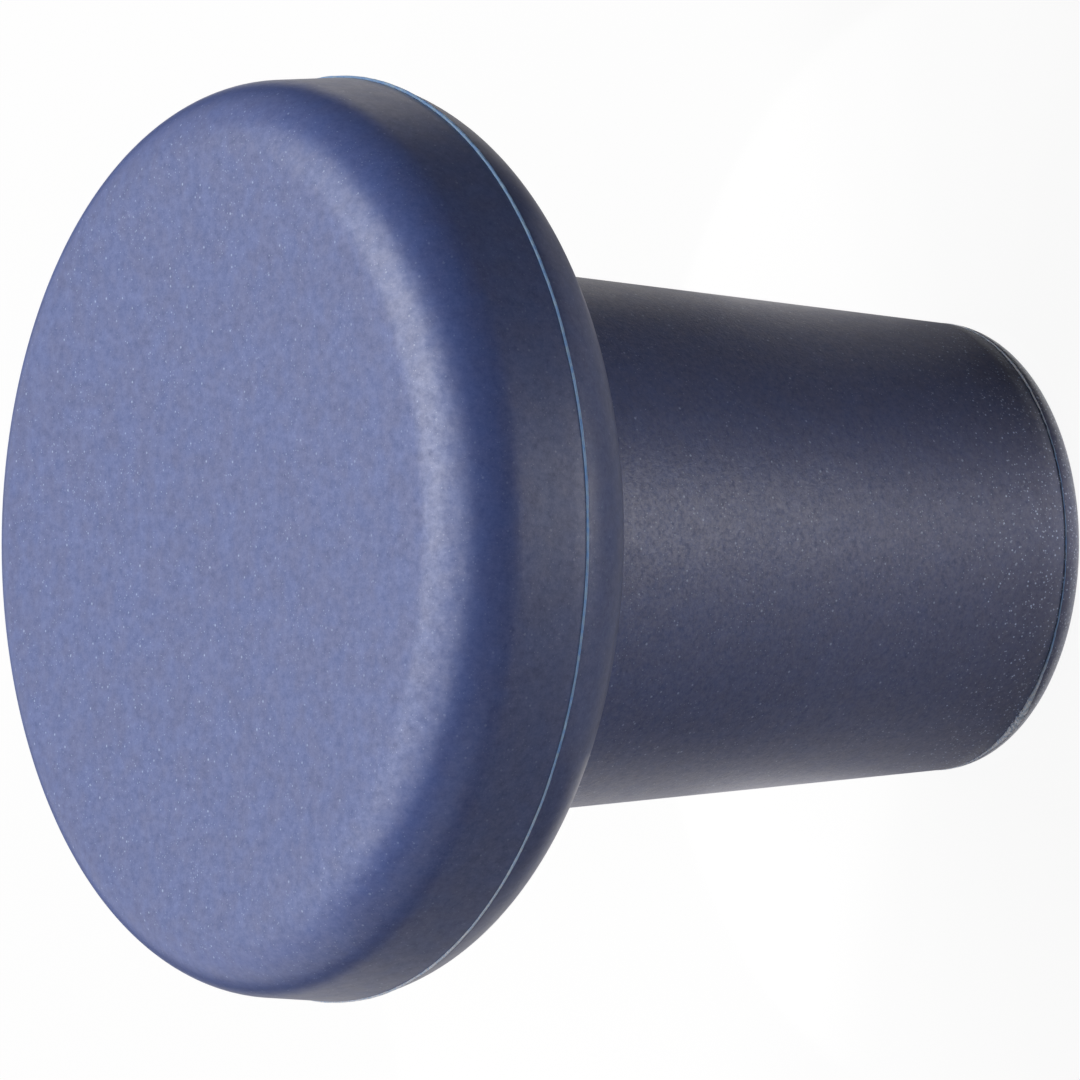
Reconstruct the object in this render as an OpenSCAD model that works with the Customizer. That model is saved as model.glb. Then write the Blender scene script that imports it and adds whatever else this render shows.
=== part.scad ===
// Moulded silicone bottle stopper: a mushroom head on a plain tapered plug.
// One solid of revolution about Z. It stands on the plug's end, the head's flat face is up.
// The mould shuts on two planes: round the widest part of the head, and round the corner at
// the plug's end. A thin fin of flash stands on each of these parting lines.

/* [Head] */
// Diameter of the head at its parting line, without the flash
head_d = 38; // [30:0.5:60]
// Height of the head above its parting line, up to the flat face
head_front_h = 5.9; // [4.5:0.1:12]
// Height of the head below its parting line, down to the underside
head_back_h = 3.8; // [2:0.1:10]
// Radius of the rounded edge round the face
face_edge_r = 3.15; // [0.5:0.05:4]
// Radius of the rounded edge round the underside
back_edge_r = 4.5; // [1:0.1:7]
// Draft angle of the rim above the parting line
rim_draft = 3.5; // [0:0.5:8]

/* [Plug] */
// Diameter of the plug where it meets the head
plug_root_d = 23.4; // [19:0.1:26]
// Diameter of the plug at the parting line by its end
plug_tip_d = 19.0; // [12:0.1:22]
// Length of the plug's taper, from the head to the parting line by its end
plug_len = 26.6; // [15:0.1:60]
// Radius of the rounded corner at the plug's end
tip_edge_r = 1.3; // [0.5:0.05:4]
// Radius of the fillet between the plug and the head's underside
root_fillet_r = 1.0; // [0.2:0.1:1.3]

/* [Parting lines] */
// How far the flash stands out from the surface
flash_h = 0.08; // [0.02:0.01:0.3]
// Thickness of the flash where it leaves the surface
flash_t = 0.1; // [0.04:0.01:0.3]
// Depth of the fine crease beside the flash
crease_depth = 0.05; // [0.02:0.01:0.2]
// Width of the fine crease beside the flash
crease_w = 0.12; // [0.04:0.01:0.3]

/* [Hidden] */
$fn = 180;

head_r = head_d / 2;
plug_root_r = plug_root_d / 2;
plug_tip_r = plug_tip_d / 2;

// Heights, from the plug's end face upwards
tip_line_z = tip_edge_r;
underside_z = tip_line_z + plug_len;
head_line_z = underside_z + head_back_h;
face_z = head_line_z + head_front_h;

// Half angle of the plug's taper
plug_draft = atan((plug_root_r - plug_tip_r) / plug_len);

// The face edge's arc touches the face and the drafted rim
face_arc_z = face_z - face_edge_r;
face_arc_x = head_r - (face_edge_r + sin(rim_draft) * (face_arc_z - head_line_z)) / cos(rim_draft);

// The back edge's arc touches the underside and ends at the parting line. Where its radius is
// more than the head's height below that line, its centre lies above the line.
back_arc_z = underside_z + back_edge_r;
back_overrun = max(0, back_arc_z - head_line_z);
back_arc_x = head_r - sqrt(back_edge_r ^ 2 - back_overrun ^ 2);

// A hair's overlap, so that the fillet's arc leaves no sliver where it touches the other faces
hair = 0.0005;

// The fillet's arc touches the underside and the plug's side. Its radius is limited by the flat
// ring that is left of the underside between the plug and the back edge.
fillet_r = min(root_fillet_r, back_arc_x - plug_root_r);
fillet_z = underside_z - fillet_r + hair;
fillet_x = plug_radius(fillet_z) + (fillet_r - hair) / cos(plug_draft);

// How far a flash reaches into the solid, and its crease's cut out of it
root = 0.5;

// Radius of the plug's side at height z
function plug_radius(z) = plug_tip_r + (z - tip_line_z) * tan(plug_draft);

// Half section of the head above its parting line
module head_front_section() {
    touch_x = face_arc_x + face_edge_r * cos(rim_draft);
    touch_z = face_arc_z + face_edge_r * sin(rim_draft);
    polygon([
        [0, head_line_z], [head_r, head_line_z], [touch_x, touch_z],
        [face_arc_x, face_arc_z], [face_arc_x, face_z], [0, face_z]
    ]);
    translate([face_arc_x, face_arc_z]) circle(r = face_edge_r);
}

// Half section of the head below its parting line
module head_back_section() {
    translate([0, underside_z]) square([back_arc_x, head_back_h]);
    intersection() {
        union() {
            translate([back_arc_x, back_arc_z]) circle(r = back_edge_r);
            translate([0, back_arc_z]) square([head_r, head_back_h + back_edge_r]);
        }
        translate([0, underside_z]) square([head_r, head_back_h]);
    }
}

// Half section of the plug's taper. It runs on up into the head, so that the two always join.
module plug_section() {
    polygon([
        [0, tip_line_z], [plug_tip_r, tip_line_z], [plug_radius(head_line_z), head_line_z],
        [0, head_line_z]
    ]);
    if (fillet_r > 0) fillet_section();
}

// Half section of the fillet between the plug's side and the head's underside. It runs on up
// into the head too.
module fillet_section() {
    foot_z = fillet_z + fillet_r * sin(plug_draft);
    difference() {
        translate([0, foot_z]) square([fillet_x, head_line_z - foot_z]);
        translate([fillet_x, fillet_z]) circle(r = fillet_r);
    }
}

// Half section of the plug's end, past its parting line
module tip_section() {
    square([plug_tip_r - tip_edge_r, tip_edge_r]);
    intersection() {
        translate([plug_tip_r - tip_edge_r, tip_edge_r]) circle(r = tip_edge_r);
        square([plug_tip_r, tip_edge_r]);
    }
}

// Half section of the flash on a parting line of radius r at height z: a wedge that is sharp at
// its crest. The crease cuts its upper flank, so that side starts twice as wide.
module flash_section(r, z) {
    foot = flash_t / 2 * (flash_h + root) / flash_h;
    polygon([[r - root, z - foot], [r + flash_h, z], [r - root, z + 2 * foot]]);
}

// Half section of the crease on a flash's upper side. One wall is the flash's upper flank, the
// other rises from the crease's bottom to the surface.
module crease_section(r, z) {
    bottom = z + flash_t / 2 * (flash_h + crease_depth) / flash_h;
    top = bottom + crease_w * (crease_depth + root) / crease_depth;
    polygon([[r - crease_depth, bottom], [r + flash_h, z], [r + root, z], [r + root, top]]);
}

// The whole moulding
module stopper() {
    color("#33406b")
        rotate_extrude()
            difference() {
                union() {
                    head_front_section();
                    head_back_section();
                    plug_section();
                    tip_section();
                    flash_section(head_r, head_line_z);
                    flash_section(plug_tip_r, tip_line_z);
                }
                crease_section(head_r, head_line_z);
                crease_section(plug_tip_r, tip_line_z);
            }
}

stopper();
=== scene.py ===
# %% [markdown]
# # A moulded silicone bottle stopper
# The real thing is one piece of soft, matt silicone: a mushroom head on a plain tapered plug.
# It is moulded between two halves, and the plug is pushed into the neck of a bottle.
# The lesson turns its body on a lathe made of code, adds the two thin fins of flash that the
# mould leaves, gives them a silicone that has grain, dust and a soft gloss, and lights them
# as a small product is lit on a white table.

# %% Load the fixed frame
import math

import bpy
from mathutils import Matrix, Vector, noise


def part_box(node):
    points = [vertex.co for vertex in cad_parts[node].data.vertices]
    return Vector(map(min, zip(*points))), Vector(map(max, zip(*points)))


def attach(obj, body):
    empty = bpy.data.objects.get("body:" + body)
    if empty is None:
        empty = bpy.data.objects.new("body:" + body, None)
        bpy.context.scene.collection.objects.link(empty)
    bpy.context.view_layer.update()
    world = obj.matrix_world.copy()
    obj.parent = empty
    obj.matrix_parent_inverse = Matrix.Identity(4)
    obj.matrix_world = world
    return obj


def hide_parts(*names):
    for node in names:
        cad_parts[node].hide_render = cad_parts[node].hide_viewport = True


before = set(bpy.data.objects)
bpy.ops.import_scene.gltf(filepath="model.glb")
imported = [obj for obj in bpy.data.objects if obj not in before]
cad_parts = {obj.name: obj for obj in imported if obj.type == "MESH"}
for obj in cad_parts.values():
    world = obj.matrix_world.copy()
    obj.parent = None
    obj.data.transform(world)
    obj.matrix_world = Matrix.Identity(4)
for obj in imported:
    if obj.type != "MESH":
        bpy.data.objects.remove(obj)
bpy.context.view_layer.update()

low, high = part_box("stopper")
print("frame: stopper", [round(1000 * (b - a), 3) for a, b in zip(low, high)], "mm")

# %% [markdown]
# ## Sizes
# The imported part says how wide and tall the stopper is. The rest are the sizes that shape its
# outline, and they repeat those of the part, in metres. Everything is placed from the axis and
# from the two parting lines, where the mould's halves met.

# %% Sizes of the moulding
MM = 0.001
FLASH_STANDS = 0.08 * MM
HEAD_R = (high.x - low.x) / 2 - FLASH_STANDS
FACE_Z = high.z
HEAD_LINE_Z = FACE_Z - 5.9 * MM
UNDERSIDE_Z = HEAD_LINE_Z - 3.8 * MM
TIP_LINE_Z = low.z + 1.3 * MM
PLUG_ROOT_R = 11.7 * MM
PLUG_TIP_R = 9.5 * MM
FACE_EDGE_R = 3.15 * MM
BACK_EDGE_R = 4.5 * MM
TIP_EDGE_R = TIP_LINE_Z - low.z
ROOT_FILLET_R = 1.0 * MM
RIM_DRAFT = math.radians(3.5)
PLUG_DRAFT = math.atan((PLUG_ROOT_R - PLUG_TIP_R) / (UNDERSIDE_Z - TIP_LINE_Z))
CREASE_W = 0.12 * MM
TIP_CREASE = 0.05 * MM
HEAD_CREASE = 0.02 * MM
print(f"head {2000 * HEAD_R:.2f} mm across, plug draft {math.degrees(PLUG_DRAFT):.2f} degrees")

# %% [markdown]
# ## The outline
# A turned form needs only half of its section. The outline runs from the middle of the plug's
# end, up the plug, round the head and back to the middle of the face. Straight stretches and
# arcs are listed as (radius, height) points, closer together where the form turns faster.
# It could be drawn by hand as a curve, but arcs that are worked out from the sizes touch their
# neighbours exactly, so that no edge catches the light.

# %% Helpers for the outline
def line(start, end, count):
    """Points along a straight stretch, without its last one."""
    return [(start[0] + (end[0] - start[0]) * i / count,
             start[1] + (end[1] - start[1]) * i / count) for i in range(count)]


def arc(centre, radius, start_deg, end_deg, count):
    """Points round an arc, without its last one."""
    turns = [math.radians(start_deg + (end_deg - start_deg) * i / count) for i in range(count)]
    return [(centre[0] + radius * math.cos(t), centre[1] + radius * math.sin(t)) for t in turns]


def crease(radius, height, depth):
    """A fine groove that starts at a parting line and runs out on its upper side."""
    return [(radius, height), (radius - depth, height + 0.3 * CREASE_W),
            (radius - 0.8 * depth, height + 0.6 * CREASE_W)]


# %% The plug's and the head's outline
def plug_outline():
    """From the middle of the plug's end to the underside of the head."""
    tip_arc = (PLUG_TIP_R - TIP_EDGE_R, TIP_LINE_Z)
    fillet_z = UNDERSIDE_Z - ROOT_FILLET_R
    slope = math.tan(PLUG_DRAFT)
    fillet_x = (PLUG_TIP_R + (fillet_z - TIP_LINE_Z) * slope
                + ROOT_FILLET_R / math.cos(PLUG_DRAFT))
    side_start = (PLUG_TIP_R + CREASE_W * slope, TIP_LINE_Z + CREASE_W)
    side_end = (fillet_x - ROOT_FILLET_R * math.cos(PLUG_DRAFT),
                fillet_z + ROOT_FILLET_R * math.sin(PLUG_DRAFT))
    points = line((0.0, low.z), (tip_arc[0], low.z), 8)
    points += arc(tip_arc, TIP_EDGE_R, -90, 0, 14)
    points += crease(PLUG_TIP_R, TIP_LINE_Z, TIP_CREASE)
    points += line(side_start, side_end, 24)
    points += arc((fillet_x, fillet_z), ROOT_FILLET_R, 180 - math.degrees(PLUG_DRAFT), 90, 9)
    return points, fillet_x


def head_outline(underside_x):
    """From the underside, round the rim and over to the middle of the face."""
    overrun = BACK_EDGE_R - (HEAD_LINE_Z - UNDERSIDE_Z)
    back_x = HEAD_R - math.sqrt(BACK_EDGE_R ** 2 - overrun ** 2)
    face_z = FACE_Z - FACE_EDGE_R
    lean = math.sin(RIM_DRAFT) * (face_z - HEAD_LINE_Z)
    face_x = HEAD_R - (FACE_EDGE_R + lean) / math.cos(RIM_DRAFT)
    rim_end = (face_x + FACE_EDGE_R * math.cos(RIM_DRAFT),
               face_z + FACE_EDGE_R * math.sin(RIM_DRAFT))
    rim_start = (HEAD_R - CREASE_W * math.tan(RIM_DRAFT), HEAD_LINE_Z + CREASE_W)
    points = line((underside_x, UNDERSIDE_Z), (back_x, UNDERSIDE_Z), 3)
    points += arc((back_x, UNDERSIDE_Z + BACK_EDGE_R), BACK_EDGE_R, -90,
                  -math.degrees(math.asin(overrun / BACK_EDGE_R)), 26)
    points += crease(HEAD_R, HEAD_LINE_Z, HEAD_CREASE)
    points += line(rim_start, rim_end, 5)
    points += arc((face_x, face_z), FACE_EDGE_R, math.degrees(RIM_DRAFT), 90, 26)
    points += line((face_x, FACE_Z), (0.0, FACE_Z), 8)
    points.append((0.0, FACE_Z))
    return points


plug_points, underside_start = plug_outline()
outline = plug_points + head_outline(underside_start)
print("outline:", len(outline), "points")

# %% [markdown]
# ## The lathe
# Each point of the outline becomes a ring, and each pair of rings a belt of quads. The two
# points on the axis are single vertices, closed by fans. A Screw modifier would spin it too,
# but would leave a seam and doubled points on the axis to clean up. All of it is shaded smooth,
# since even the creases are soft in silicone.

# %% Turn an outline into a closed mesh
def new_mesh(name, verts, faces):
    """A smooth mesh object in the scene."""
    mesh = bpy.data.meshes.new(name)
    mesh.from_pydata(verts, [], faces)
    mesh.update()
    made = bpy.data.objects.new(name, mesh)
    bpy.context.scene.collection.objects.link(made)
    mesh.shade_smooth()
    return made


def turn(name, points, segments):
    """Spin the outline round the axis. Its first and last points lie on the axis."""
    verts = [(0.0, 0.0, points[0][1]), (0.0, 0.0, points[-1][1])]
    rings = points[1:-1]
    for radius, height in rings:
        for j in range(segments):
            a = 2 * math.pi * j / segments
            verts.append((radius * math.cos(a), radius * math.sin(a), height))
    faces = []
    last = 2 + (len(rings) - 1) * segments
    for j in range(segments):
        k = (j + 1) % segments
        faces.append((0, 2 + k, 2 + j))
        faces.append((1, last + j, last + k))
        for i in range(len(rings) - 1):
            a, b = 2 + i * segments, 2 + (i + 1) * segments
            faces.append((a + j, a + k, b + k, b + j))
    return new_mesh(name, verts, faces)


TURN_STEPS = 480
stopper = turn("stopper_moulding", outline, TURN_STEPS)
print("moulding:", len(stopper.data.polygons), "faces")

# %% [markdown]
# ## Flash
# Where two halves of a mould meet, a little silicone creeps into the joint and cures there as
# a fin about as thin as a hair. It is trimmed by hand, so its edge is never quite even, and at
# one side of the plug's end it was torn and left ragged. Sculpting could do it, but not the
# same way twice. Here a small wedge section is set up many times round the parting line, and
# smooth noise says how large each one is.

# %% A ragged fin round a parting line
def wander(angle, detail, seed):
    """Smooth noise that meets itself after a full turn, about -1 to 1."""
    return noise.noise(Vector((detail * math.cos(angle), detail * math.sin(angle), seed)))


def bump_at(angle, middle_deg, width_deg):
    """1 at one place of the ring, fading to 0 at either side."""
    away = (math.degrees(angle) - middle_deg + 180) % 360 - 180
    return math.exp(-(away / width_deg) ** 2)


def flash_ring(name, radius, height, segments, shape):
    """A wedge all round, sunk a little way in. shape(angle) gives how far it stands out, how
    thick it is and its shift in height."""
    root = -0.12 * MM
    verts = []
    for j in range(segments):
        a = 2 * math.pi * j / segments
        stands, thick, shift = shape(a)
        section = [(root, -0.6 * thick), (0.5 * stands, -0.5 * thick), (stands, -0.3 * thick),
                   (stands, 0.3 * thick), (0.5 * stands, 0.5 * thick), (root, 0.6 * thick)]
        for out, up in section:
            r = radius + out
            verts.append((r * math.cos(a), r * math.sin(a), height + shift + up))
    faces = []
    for j in range(segments):
        for i in range(len(section)):
            a, b = len(section) * j, len(section) * ((j + 1) % segments)
            n = (i + 1) % len(section)
            faces.append((a + i, b + i, b + n, a + n))
    return new_mesh(name, verts, faces)


# %% [markdown]
# The fin round the head is almost even, and fullest where the mould's halves closed worst. The
# one round the plug's end hardly shows, apart from two fuller places and the torn one, where it
# stands out and is lumpy. Each kind of unevenness has a seed of its own, so that they don't
# rise and fall together.

# %% The two fins
HEAD_FULL_DEG = -19
TIP_FULL_DEG = 228
TIP_FULL_TOO_DEG = 318
TORN_DEG = 219


def head_flash_shape(a):
    full = bump_at(a, HEAD_FULL_DEG, 45)
    uneven = 0.15 * wander(a, 3, 1.5) + 0.2 * wander(a, 40, 2.5)
    stands = FLASH_STANDS * (0.6 + 0.35 * full + uneven)
    uneven = 0.25 * wander(a, 5, 3.5) + 0.2 * wander(a, 60, 4.5)
    thick = 0.08 * MM * (1 + 0.5 * full + uneven)
    return stands, thick, 0.012 * MM * wander(a, 12, 5.5)


def tip_flash_shape(a):
    torn = bump_at(a, TORN_DEG, 10)
    full = min(1, bump_at(a, TIP_FULL_DEG, 20) + 0.6 * bump_at(a, TIP_FULL_TOO_DEG, 14))
    uneven = 0.12 * wander(a, 3, 6.5) + 0.3 * full * wander(a, 60, 7.5)
    stands = FLASH_STANDS * (0.18 + 0.67 * full + uneven)
    stands += torn * MM * (0.08 + 0.12 * abs(wander(a, 45, 8.5)))
    thick = MM * (0.03 + 0.05 * full + 0.02 * wander(a, 50, 9.5))
    thick += torn * MM * (0.16 + 0.3 * abs(wander(a, 90, 12.5)))
    shift = 0.02 * wander(a, 25, 10.5) + 0.05 * torn * wander(a, 80, 13.5)
    return stands, thick, MM * shift


HEAD_FIN_STEPS = 2880
TIP_FIN_STEPS = 2160
head_flash = flash_ring("head_flash", HEAD_R, HEAD_LINE_Z, HEAD_FIN_STEPS, head_flash_shape)
tip_flash = flash_ring("tip_flash", PLUG_TIP_R, TIP_LINE_Z, TIP_FIN_STEPS, tip_flash_shape)
for fin in (head_flash, tip_flash):
    reach = max(math.hypot(v.co.x, v.co.y) for v in fin.data.vertices)
    print(f"{fin.name}: reaches {1000 * reach:.2f} mm from the axis")

# %% [markdown]
# ## Silicone
# Filled silicone is an even blue that has no grain of its own. What makes it look real is small:
# clouds in the pigment about a millimetre across, the fine pits of a blasted mould, dust that
# clings to it, and a gloss that is soft because the pits spread it. All of it hangs on the
# object's own coordinates in three dimensions, so it runs over the rounded edges without a
# seam, which an unwrapped picture would not do as easily.

# %% Node helpers
def new_material(name):
    """A material, its node tree and its main shader."""
    made = bpy.data.materials.new(name)
    made.use_nodes = True
    return made, made.node_tree, made.node_tree.nodes["Principled BSDF"]


def put(tree, target, value):
    """Link a socket, or set a plain value."""
    if isinstance(value, bpy.types.NodeSocket):
        tree.links.new(value, target)
    else:
        target.default_value = value


def spread(tree, value, start, end, low_value, high_value, smooth=False):
    """Map start..end onto low_value..high_value, and hold the ends."""
    node = tree.nodes.new("ShaderNodeMapRange")
    node.interpolation_type = "SMOOTHSTEP" if smooth else "LINEAR"
    for name, number in (("Value", value), ("From Min", start), ("From Max", end),
                         ("To Min", low_value), ("To Max", high_value)):
        put(tree, node.inputs[name], number)
    return node.outputs["Result"]


def calc(tree, operation, first, second):
    node = tree.nodes.new("ShaderNodeMath")
    node.operation = operation
    put(tree, node.inputs[0], first)
    put(tree, node.inputs[1], second)
    return node.outputs[0]


# %% Pattern and colour helpers
def noise_at(tree, where, per_mm, detail, rough=0.5):
    """Cloudy noise, 0 to 1, of so many clouds to the millimetre."""
    node = tree.nodes.new("ShaderNodeTexNoise")
    node.inputs["Scale"].default_value = per_mm / MM
    node.inputs["Detail"].default_value = detail
    node.inputs["Roughness"].default_value = rough
    put(tree, node.inputs["Vector"], where)
    return node.outputs["Fac"]


def blend(tree, share, first, second, kind="MIX"):
    """Mix two colours, and share says how much of the second there is."""
    node = tree.nodes.new("ShaderNodeMix")
    node.data_type = "RGBA"
    node.blend_type = kind
    put(tree, node.inputs["Factor"], share)
    put(tree, node.inputs[6], first)
    put(tree, node.inputs[7], second)
    return node.outputs[2]


def object_space(tree):
    """The object's own coordinates, whole and one by one."""
    where = tree.nodes.new("ShaderNodeTexCoord").outputs["Object"]
    axes = tree.nodes.new("ShaderNodeSeparateXYZ")
    put(tree, axes.inputs[0], where)
    return where, axes.outputs["X"], axes.outputs["Y"], axes.outputs["Z"]


# %% [markdown]
# ### Dust
# Silicone holds a charge and is a little tacky, so pale dust sits on it as single specks. A
# Voronoi texture scatters one point in each cell of space, and a speck shows where the surface
# passes close to a point. Each cell's random colour makes some specks larger and leaves others
# out. Specks this flat need no mesh of their own. There are large ones everywhere, small ones
# in crowds, and crumbs at the plug's end, where it was set down. They are fainter toward the
# front of the head.

# %% Specks of dust
def specks(tree, where, cell_mm, radius_mm, share):
    """1 inside a speck and 0 outside. share says how many of the cells hold one."""
    cells = tree.nodes.new("ShaderNodeTexVoronoi")
    cells.inputs["Scale"].default_value = 1 / (cell_mm * MM)
    put(tree, cells.inputs["Vector"], where)
    chance = tree.nodes.new("ShaderNodeSeparateColor")
    put(tree, chance.inputs[0], cells.outputs["Color"])
    largest = radius_mm / cell_mm
    size = spread(tree, chance.outputs[1], 0, 1, 0.5 * largest, largest)
    held = calc(tree, "LESS_THAN", chance.outputs[0], share)
    away = calc(tree, "DIVIDE", cells.outputs["Distance"], size)
    return calc(tree, "MULTIPLY", spread(tree, away, 0.5, 1.0, 1.0, 0.0, smooth=True), held)


# %% Where the dust lies
def dust_share(tree, where, y, height, on_plug, near_end):
    crowd = calc(tree, "MULTIPLY", near_end, 0.25)
    crowd = calc(tree, "ADD", noise_at(tree, where, per_mm=0.35, detail=2.0), crowd)
    share = spread(tree, crowd, 0.4, 0.65, 0.15, 1.0)
    large = specks(tree, where, cell_mm=0.42, radius_mm=0.075, share=0.6)
    large = calc(tree, "MULTIPLY", large, 0.4)
    bright = calc(tree, "ADD", calc(tree, "MULTIPLY", near_end, 0.4), 0.36)
    small = specks(tree, where, cell_mm=0.17, radius_mm=0.042, share=share)
    small = calc(tree, "MULTIPLY", small, bright)
    settled = spread(tree, y, -16 * MM, 0.0, 0.35, 1.0)
    settled = calc(tree, "MAXIMUM", settled, on_plug)
    dust = calc(tree, "MULTIPLY", calc(tree, "MAXIMUM", large, small), settled)
    low_down = spread(tree, height, 0.8 * MM, 6.0 * MM, 1.3, 0.0)
    share = calc(tree, "MULTIPLY", low_down, share)
    crumbs = specks(tree, where, cell_mm=0.19, radius_mm=0.06, share=share)
    return calc(tree, "MAXIMUM", dust, calc(tree, "MULTIPLY", crumbs, 0.85))


# %% [markdown]
# ### The blue
# The colour is built in thin layers, each of which changes the one below it a little. First
# come two blues in clouds, which differ in hue more than in depth, with a fine grain. The plug
# goes into bottles, so it has a grey bloom, and it turns greyer toward its end. The skin is
# greyer from the rim down. A deeper blue is painted on the rolled edge of the face as painted
# shade, and the creases get painted shade in dark blue, because little light gets out of them.

# %% Pigment
CLOUD_BLUE = (0.1005, 0.1277, 0.291, 1)
CLEAR_BLUE = (0.0945, 0.1323, 0.323, 1)


def pigment(tree, clouds, grain):
    colour = blend(tree, spread(tree, clouds, 0.35, 0.65, 0, 1), CLOUD_BLUE, CLEAR_BLUE)
    depth = spread(tree, grain, 0.25, 0.75, 0.78, 1.22)
    return blend(tree, 1.0, colour, depth, "MULTIPLY")


# %% Bloom on the plug, and greyer toward its end
BLOOM_GREY = (0.43, 0.39, 0.43, 1)
END_GREY = (0.125, 0.115, 0.185, 1)


def bloomed(tree, colour, where, height, on_plug, near_end):
    bloom = noise_at(tree, where, per_mm=5.0, detail=3.0)
    bloom = spread(tree, bloom, 0.4, 0.8, 0.02, 0.14)
    bloom = calc(tree, "ADD", bloom, calc(tree, "MULTIPLY", near_end, 0.08))
    colour = blend(tree, calc(tree, "MULTIPLY", bloom, on_plug), colour, BLOOM_GREY)
    # The plug turns greyer toward its end.
    greyer_to_end = spread(tree, height, 1.0 * MM, 26.0 * MM, 0.22, 0.0)
    return blend(tree, greyer_to_end, colour, END_GREY)


# %% Greyer skin, and painted shade on the rolled edge
DULL_BLUE = (0.095, 0.115, 0.16, 1)
ROLL_SHADE_BLUE = (0.075, 0.13, 0.42, 1)


def greyer_rim_and_painted_roll_shade(tree, colour, height):
    # Greyer from the rim down, over the rim, the underside and the plug.
    dull = spread(tree, height, FACE_Z - 4.1 * MM, FACE_Z - 2.6 * MM, 0.2, 0.0)
    colour = blend(tree, dull, colour, DULL_BLUE)
    # Painted shade: a deeper blue on the rolled edge of the face, where the roll lies in shade.
    above_rim = spread(tree, height, FACE_Z - 3.0 * MM, FACE_Z - 2.0 * MM, 0.0, 0.3)
    below_face = spread(tree, height, FACE_Z - 0.5 * MM, FACE_Z - 0.05 * MM, 1.0, 0.0)
    return blend(tree, calc(tree, "MULTIPLY", above_rim, below_face), colour, ROLL_SHADE_BLUE)


# %% Painted shade in the creases
CREASE_SHADE_BLUE = (0.012, 0.035, 0.065, 1)


def painted_crease_shade(tree, colour, height):
    for line_z, depth in ((HEAD_LINE_Z, 0.15), (TIP_LINE_Z, 0.6)):
        # Painted shade: a dark blue band just above each parting line, stronger at the plug's end.
        off = calc(tree, "SUBTRACT", height, line_z + 0.07 * MM)
        off = calc(tree, "ABSOLUTE", off, 0)
        dark = spread(tree, off, 0.02 * MM, 0.08 * MM, depth, 0.0, smooth=True)
        colour = blend(tree, dark, colour, CREASE_SHADE_BLUE)
    return colour


# %% [markdown]
# ### The skin
# A blasted mould leaves fine pits. On the head they are almost polished out, and on the plug
# they are deep enough to break the gloss into grains. Bump is enough for pits of a few
# hundredths of a millimetre, which no outline shows. The gloss follows the grain of the
# pigment, and on the plug it follows the pits too.

# %% Pits and gloss
def add_skin(tree, bsdf, where, clouds, grain, on_plug):
    pits = noise_at(tree, where, per_mm=5.5, detail=3.0, rough=0.75)
    bump = tree.nodes.new("ShaderNodeBump")
    bump.inputs["Distance"].default_value = 0.024 * MM
    put(tree, bump.inputs["Strength"], spread(tree, on_plug, 0, 1, 0.24, 1.0))
    put(tree, bump.inputs["Height"], pits)
    put(tree, bsdf.inputs["Normal"], bump.outputs[0])
    grainy = calc(tree, "MULTIPLY", on_plug, spread(tree, pits, 0.35, 0.65, -0.15, 0.5))
    gloss = calc(tree, "ADD", grainy, spread(tree, grain, 0.3, 0.7, 0.35, 1.0))
    put(tree, bsdf.inputs["Specular IOR Level"], gloss)
    put(tree, bsdf.inputs["Roughness"], spread(tree, clouds, 0.3, 0.7, 0.32, 0.36))
    bsdf.inputs["IOR"].default_value = 1.5


# %% Matt silicone
DUST_WHITE = (0.62, 0.74, 1.0, 1)


def silicone():
    made, tree, bsdf = new_material("matt_silicone")
    where, _, y, height = object_space(tree)
    on_plug = spread(tree, height, UNDERSIDE_Z, UNDERSIDE_Z + 0.5 * MM, 1.0, 0.0)
    near_end = spread(tree, height, 1.0 * MM, 8.0 * MM, 1.0, 0.0)
    clouds = noise_at(tree, where, per_mm=1.0, detail=2.0)
    drawn_out = tree.nodes.new("ShaderNodeMapping")
    drawn_out.inputs["Scale"].default_value = (1, 0.7, 1)
    put(tree, drawn_out.inputs[0], where)
    grain = noise_at(tree, drawn_out.outputs[0], per_mm=2.8, detail=5.0, rough=0.85)

    colour = pigment(tree, clouds, grain)
    colour = bloomed(tree, colour, where, height, on_plug, near_end)
    colour = greyer_rim_and_painted_roll_shade(tree, colour, height)
    colour = painted_crease_shade(tree, colour, height)
    dust = dust_share(tree, where, y, height, on_plug, near_end)
    put(tree, bsdf.inputs["Base Color"], blend(tree, dust, colour, DUST_WHITE))
    add_skin(tree, bsdf, where, clouds, grain, on_plug)
    return made


# %% [markdown]
# ### The fin
# A fin this thin lets light through, so the same silicone looks pale and clear in it. A mix of
# ordinary surface and Translucent does that without true scattering, which would be slow and
# noisy for a fin of a tenth of a millimetre. At the sides of the plug's end, where it was torn,
# it is stretched and whitish, and at one side of the head it is scuffed. There it lets less
# light through.

# %% Thin silicone
FIN_BLUE = (0.33, 0.60, 1.0, 1)
FIN_PALE = (0.56, 0.78, 1.0, 1)
FIN_WHITE = (0.93, 0.94, 1.0, 1)


def torn_or_scuffed(tree, where, x, height):
    """How whitish the fin is, in small grains."""
    low_down = spread(tree, height, 3 * MM, 4 * MM, 1.0, 0.0)
    aside = spread(tree, calc(tree, "ABSOLUTE", x, 0), 4 * MM, 6 * MM, 0.0, 0.95)
    scuffed = spread(tree, x, -16 * MM, -8 * MM, 0.9, 0.0)
    white = calc(tree, "MAXIMUM", calc(tree, "MULTIPLY", low_down, aside), scuffed)
    grit = noise_at(tree, where, per_mm=9.0, detail=2.0)
    grit = spread(tree, grit, 0.42, 0.56, 0.5, 1.0)
    return calc(tree, "MULTIPLY", white, grit)


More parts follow.
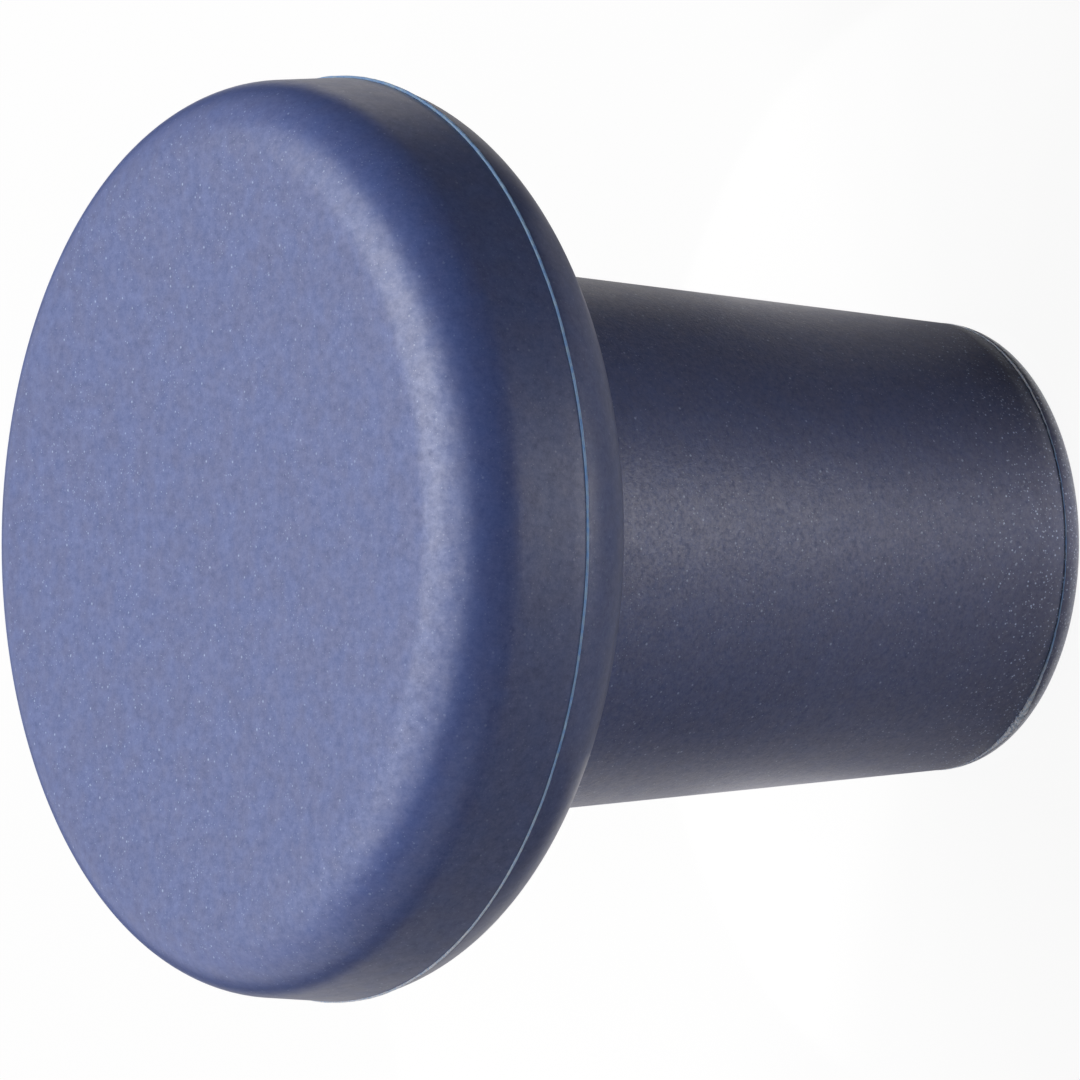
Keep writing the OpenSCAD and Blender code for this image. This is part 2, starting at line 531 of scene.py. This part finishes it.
def flash_silicone():
    made, tree, bsdf = new_material("flash_silicone")
    where, x, _, height = object_space(tree)
    mottle = spread(tree, noise_at(tree, where, per_mm=3.0, detail=3.0), 0.35, 0.65, 0, 1)
    white = torn_or_scuffed(tree, where, x, height)
    colour = blend(tree, white, blend(tree, mottle, FIN_BLUE, FIN_PALE), FIN_WHITE)
    put(tree, bsdf.inputs["Base Color"], colour)
    bsdf.inputs["Roughness"].default_value = 0.4
    through = tree.nodes.new("ShaderNodeBsdfTranslucent")
    put(tree, through.inputs["Color"], colour)
    mix = tree.nodes.new("ShaderNodeMixShader")
    put(tree, mix.inputs["Fac"], spread(tree, white, 0, 1, 0.4, 0.05))
    put(tree, mix.inputs[1], bsdf.outputs[0])
    put(tree, mix.inputs[2], through.outputs[0])
    put(tree, tree.nodes["Material Output"].inputs["Surface"], mix.outputs[0])
    return made


# %% Put the silicone on
stopper.data.materials.append(silicone())
thin = flash_silicone()
for fin in (head_flash, tip_flash):
    fin.data.materials.append(thin)
for piece in (stopper, head_flash, tip_flash):
    made = piece.data.materials[0]
    print(f"{piece.name}: {made.name}, {len(made.node_tree.nodes)} nodes")

# %% [markdown]
# ## Who rides on what
# The stopper is one body, so all three pieces ride on it. The moulding is the same form as the
# part, so it stands in for it, and the fins are details that only the visual model has.

# %% The pieces ride on the frame
for piece in (stopper, head_flash, tip_flash):
    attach(piece, "root")
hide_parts("stopper")

# %% [markdown]
# ## The table
# The stopper stands on a white table. For the camera, and for rays that mirror it, nearly all
# of its white is a glow of its own, so that it is clean up to the edge of the picture. The rest
# is an ordinary matt surface under the lamps, which keeps the stopper's shadow. A lit backdrop
# alone would need far more light than suits the blue. The table lies a hair below the plug's
# end, so that the two faces don't share one plane.

# %% A direction and a ray test
scene = bpy.context.scene


def toward(azimuth, elevation):
    """A direction from the object: azimuth 0 is the front, 90 the right, 180 the back."""
    a, e = math.radians(azimuth), math.radians(elevation)
    return Vector((math.sin(a) * math.cos(e), -math.cos(a) * math.cos(e), math.sin(e)))


def seen_or_mirrored(tree):
    """1 for camera, glossy and transmission rays, and 0 for the rays that light the object."""
    path = tree.nodes.new("ShaderNodeLightPath")
    total = path.outputs["Is Camera Ray"]
    for ray in ("Is Glossy Ray", "Is Transmission Ray"):
        total = calc(tree, "MAXIMUM", total, path.outputs[ray])
    return total


# %% White table
def matt(name, shade):
    made, tree, bsdf = new_material(name)
    bsdf.inputs["Base Color"].default_value = (shade, shade, shade, 1)
    bsdf.inputs["Specular IOR Level"].default_value = 0.0
    bsdf.inputs["Roughness"].default_value = 1.0
    return made, tree, bsdf


TABLE_PAINT = 0.9
OWN_WHITE = 0.93


def white_table():
    made, tree, bsdf = matt("white_table", TABLE_PAINT)
    glow = tree.nodes.new("ShaderNodeEmission")
    mix = tree.nodes.new("ShaderNodeMixShader")
    put(tree, mix.inputs["Fac"], calc(tree, "MULTIPLY", seen_or_mirrored(tree), OWN_WHITE))
    put(tree, mix.inputs[1], bsdf.outputs[0])
    put(tree, mix.inputs[2], glow.outputs[0])
    put(tree, tree.nodes["Material Output"].inputs["Surface"], mix.outputs[0])
    made.cycles.emission_sampling = "NONE"
    return made


TABLE_HALF = 3.0
TABLE_Z = low.z - 0.02 * MM
corners = [(x * TABLE_HALF, y * TABLE_HALF, TABLE_Z)
           for x, y in ((-1, -1), (1, -1), (1, 1), (-1, 1))]
floor = new_mesh("floor", corners, [(0, 1, 2, 3)])
floor.data.materials.append(white_table())
print(f"table: {2 * TABLE_HALF:.0f} m square, {1000 * TABLE_Z:.2f} mm high")

# %% [markdown]
# ## The tent
# A small glossy thing is shaped by what it mirrors. The plug and the rim mirror the table all
# round them, so three rings of card lie there. Each is bright in a band in front, which draws
# the one soft streak down the plug, and darker at both sides, which keeps the blue deep. Under
# the front of the head hangs an apron of dim card, so that the narrow underside doesn't mirror
# the bright ones. Black cloth lies farther out. Round it all stands a cloth that is pale behind
# and dark in front, and beyond its front a black curtain, twice as tall. Glowing card was chosen
# over more lamps, because one ring of it can be bright and dark by turns. The camera doesn't see
# any of the tent, and it casts no shadow.

# %% Card and cloth that glow by their azimuth
WARM_WHITE = (1.0, 0.97, 0.975)
BLACK_CLOTH = 0.02


def ramp_round(tree, where, stops):
    """A colour by the azimuth round the axis. stops are (azimuth, glow), at most 32."""
    front = tree.nodes.new("ShaderNodeMapping")
    front.inputs["Rotation"].default_value = (0, 0, math.radians(90))
    put(tree, front.inputs["Vector"], where)
    spin = tree.nodes.new("ShaderNodeTexGradient")
    spin.gradient_type = "RADIAL"
    put(tree, spin.inputs["Vector"], front.outputs[0])
    ramp = tree.nodes.new("ShaderNodeValToRGB")
    ramp.color_ramp.interpolation = "EASE"
    put(tree, ramp.inputs["Fac"], spin.outputs["Fac"])
    while len(ramp.color_ramp.elements) < len(stops):
        ramp.color_ramp.elements.new(0.5)
    for element, (azimuth, glow) in zip(ramp.color_ramp.elements, stops):
        element.position = azimuth / 360 + 0.5
        element.color = (*(glow * share for share in WARM_WHITE), 1)
    return ramp.outputs["Color"]


def glowing(name, stops, rise=None):
    """Dark card that glows by azimuth. rise gives two radii and the glow's share at the first."""
    made, tree, bsdf = matt(name, BLACK_CLOTH)
    where = tree.nodes.new("ShaderNodeTexCoord").outputs["Object"]
    put(tree, bsdf.inputs["Emission Color"], ramp_round(tree, where, stops))
    bsdf.inputs["Emission Strength"].default_value = 1.0
    if rise:
        inner, outer, inner_share = rise
        away = tree.nodes.new("ShaderNodeVectorMath")
        away.operation = "LENGTH"
        put(tree, away.inputs[0], where)
        strength = spread(tree, away.outputs["Value"], inner, outer, inner_share, 1.0, smooth=True)
        put(tree, bsdf.inputs["Emission Strength"], strength)
    made.cycles.emission_sampling = "NONE"
    return made


# %% A strip of card or cloth
BAND_STEPS = 60


def band(name, inner, outer, material, start=-180, end=180):
    """A strip of mesh from the circle inner to the circle outer, each (radius, height)."""
    verts, faces = [], []
    for i in range(BAND_STEPS + 1):
        side = toward(start + (end - start) * i / BAND_STEPS, 0)
        verts += [(side.x * r, side.y * r, z) for r, z in (inner, outer)]
        if i < BAND_STEPS:
            faces.append((2 * i, 2 * i + 1, 2 * i + 3, 2 * i + 2))
    made = new_mesh(name, verts, faces)
    made.data.materials.append(material)
    made.visible_camera = False
    made.visible_shadow = False


# %% [markdown]
# The glows were set one ring after the other. The ring at the foot is mirrored by the
# lower part of the plug, the near ring by its upper part and by the rolled underside, and the
# far ring by the rim. Azimuths run from -180 at the back, through 0 in front and 90 on the
# right, to 180.

# %% Three rings of card on the table
CARD_Z = low.z + 0.3 * MM
FOOT_IN_R = PLUG_TIP_R + 0.2 * MM
FOOT_R = 24 * MM
NEAR_R = 50 * MM
FAR_R = 96 * MM
foot_glow = [(-180, 0.75), (-150, 1.0), (-125, 1.1), (-101, 0.55), (-85, 0.4), (-72, 0.3),
             (-55, 0.2), (-36, 0.25), (-12, 0.47), (1, 0.9), (11, 1.12), (20, 0.7), (34, 0.2),
             (50, 0.04), (66, 0.04), (77, 0.17), (88, 0.27), (96, 0.31), (110, 0.55),
             (130, 0.85), (180, 0.75)]
near_glow = [(-180, 0.6), (-130, 0.95), (-108, 0.74), (-96, 0.4), (-83, 0.04), (-62, 0.07),
             (-50, 0.18), (-36, 0.36), (-12, 0.74), (1, 1.66), (11, 2.08), (20, 1.32),
             (34, 0.33), (50, 0.05), (66, 0.02), (88, 0.03), (103, 0.12), (128, 0.7), (155, 0.6),
             (180, 0.55)]
far_glow = [(-180, 0.55), (-130, 0.65), (-104, 0.35), (-84, 0.32), (-55, 0.26), (-36, 0.38),
            (-12, 0.85), (1, 1.85), (11, 2.3), (20, 1.45), (34, 0.36), (50, 0.05), (97, 0.02),
            (128, 0.73), (155, 0.62), (180, 0.55)]
foot_card = glowing("foot_card", foot_glow, (8 * MM, FOOT_R, 0.65))
near_card = glowing("near_card", near_glow, (FOOT_R, 60 * MM, 0.75))
far_card = glowing("far_card", far_glow)
band("foot_card", (FOOT_IN_R, CARD_Z), (FOOT_R, CARD_Z), foot_card)
band("near_card", (FOOT_R, CARD_Z), (NEAR_R, CARD_Z), near_card)
band("far_card", (NEAR_R, CARD_Z), (FAR_R, CARD_Z), far_card)
print("rings:", [round(1000 * r, 1) for r in (FOOT_IN_R, FOOT_R, NEAR_R, FAR_R)], "mm from the axis")

# %% Apron, cloth and curtain
APRON_Z = UNDERSIDE_Z - 2 * MM
APRON_IN_R = PLUG_ROOT_R + 3.8 * MM
APRON_R = HEAD_R + 2.2 * MM
TENT_R = 0.4
CURTAIN_R = TENT_R + 0.01
CLOTH_TOP = 0.24
CURTAIN_TOP = 0.5
wall_glow = [(-180, 0.6), (-140, 1.0), (-120, 1.0), (-95, 0.35), (-60, 0.6), (-30, 0.15),
             (0, 0.02), (120, 0.02), (150, 0.5), (180, 0.6)]
apron_glow = [(-180, 0.25), (180, 0.25)]
black = matt("dark_cloth", BLACK_CLOTH)[0]
band("apron", (APRON_IN_R, APRON_Z), (APRON_R, APRON_Z), glowing("apron", apron_glow), -35, 55)
band("table_cloth", (FAR_R, CARD_Z), (TENT_R, CARD_Z), black)
band("wall_cloth", (TENT_R, CARD_Z), (TENT_R, CLOTH_TOP), glowing("wall_cloth", wall_glow))
band("front_curtain", (CURTAIN_R, CARD_Z), (CURTAIN_R, CURTAIN_TOP), black, -115, 125)
print(f"cloth {1000 * CLOTH_TOP:.0f} mm high, {1000 * TENT_R:.0f} mm from the axis")

# %% [markdown]
# ## World and lamps
# The world is white where it is seen or mirrored, and gives hardly any light. The light comes
# from soft round lamps overhead, which lean back, so that the front of the rim stays dark.
# Their power is worked out from how bright each disk should look, which is easier to think
# about: 1 is the white of the background. Each line gives a lamp's azimuth and elevation, its
# distance and width in metres, and its brightness.

# %% World
WORLD_LIGHT = 0.1
WORLD_WHITE = 1.0
world = bpy.data.worlds.new("studio")
scene.world = world
world.use_nodes = True
sky = world.node_tree
background = sky.nodes["Background"]
background.inputs["Color"].default_value = (1, 1, 1, 1)
put(sky, background.inputs["Strength"],
    spread(sky, seen_or_mirrored(sky), 0, 1, WORLD_LIGHT, WORLD_WHITE))


# %% Lamps
def lamp(name, azimuth, elevation, distance, size, radiance):
    """A round soft lamp of even brightness, aimed at the middle of the stopper."""
    data = bpy.data.lights.new(name, "AREA")
    data.shape = "DISK"
    data.size = size
    disk_area = math.pi * size ** 2 / 4
    data.energy = radiance * math.pi * disk_area
    made = bpy.data.objects.new(name, data)
    scene.collection.objects.link(made)
    made.location = (low + high) / 2 + distance * toward(azimuth, elevation)
    made.rotation_euler = toward(azimuth, elevation).to_track_quat("Z", "Y").to_euler()
    made.visible_camera = False
    print(f"lamp {name}: {1000 * size:.0f} mm across, {data.energy:.3f} W")


lamp("ceiling", 180, 85, 0.40, 0.58, 1.42)
lamp("top", 180, 83, 0.35, 0.14, 1.0)
lamp("side_top", 100, 74, 0.37, 0.14, 2.15)
lamp("key", 140, 58, 0.40, 0.34, 1.6)
lamp("left", -145, 46, 0.40, 0.30, 0.34)

# %% [markdown]
# ## Camera
# A long lens from half a metre away, which looks down by more than a third of a right angle.
# The camera is turned on its side, so the stopper, which stands upright here, lies across the
# picture with its head to the left.

# %% Camera
CAMERA_ELEVATION = 33.457
CAMERA_ROLL = -89.326
CAMERA_DISTANCE = 503.76 * MM
camera_aim = Vector((0.08 * MM, 0, low.z + 21.43 * MM))
camera_data = bpy.data.cameras.new("camera")
camera_data.sensor_width = 36
camera_data.lens = 403.67
camera_data.clip_start = 0.01
camera_data.clip_end = 10
camera = bpy.data.objects.new("camera", camera_data)
scene.collection.objects.link(camera)
scene.camera = camera
camera.matrix_world = (Matrix.Translation(camera_aim + CAMERA_DISTANCE * toward(0, CAMERA_ELEVATION))
                       @ Matrix.Rotation(math.radians(90 - CAMERA_ELEVATION), 4, "X")
                       @ Matrix.Rotation(math.radians(CAMERA_ROLL), 4, "Z"))
print(f"camera: {math.degrees(camera_data.angle):.2f} degrees wide")

# %% [markdown]
# ## Finish
# The plain view transform shows each colour as it is.

# %% Finish
scene.view_settings.view_transform = "Standard"
